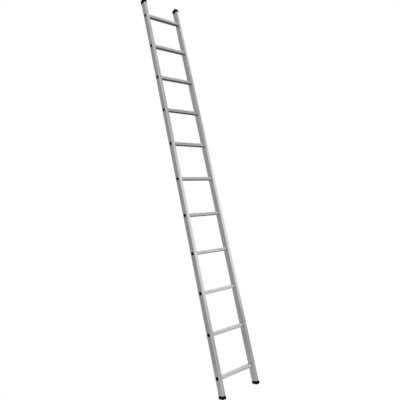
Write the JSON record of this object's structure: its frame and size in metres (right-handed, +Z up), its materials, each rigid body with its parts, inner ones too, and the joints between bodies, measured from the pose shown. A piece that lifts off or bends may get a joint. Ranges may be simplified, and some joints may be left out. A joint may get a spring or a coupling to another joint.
{
  "type": "single section ladder",
  "caption": "Straight leaning ladder: two box-section aluminium stiles joined by evenly spaced hollow grooved rungs swaged through them, with black plugs as feet and top caps.",
  "frame": {"origin": "on the floor, under the middle of the ladder: the centre of the bottom of its box", "axes": "+X along the rungs to the right as seen from the front, +Y from the front to the back, which leans on the wall, +Z up along the stiles"},
  "size_m": [0.346, 0.053, 3.083],
  "materials": {
    "stile_aluminium": "mill-finish extrusion, satin, with faint lengthwise drawing lines",
    "rung_aluminium": "mill-finish extrusion, satin, grooved lengthwise",
    "foot_rubber": "black moulded rubber, matt",
    "cap_plastic": "black moulded plastic, matt"
  },
  "bodies": {
    "root": {"left_stile": "stile_aluminium", "right_stile": "stile_aluminium", "rung_01": "rung_aluminium", "rung_02": "rung_aluminium", "rung_03": "rung_aluminium", "rung_04": "rung_aluminium", "rung_05": "rung_aluminium", "rung_06": "rung_aluminium", "rung_07": "rung_aluminium", "rung_08": "rung_aluminium", "rung_09": "rung_aluminium", "rung_10": "rung_aluminium", "rung_11": "rung_aluminium", "foot_left": "foot_rubber", "foot_right": "foot_rubber", "top_cap_left": "cap_plastic", "top_cap_right": "cap_plastic"}
  },
  "joints": []
}
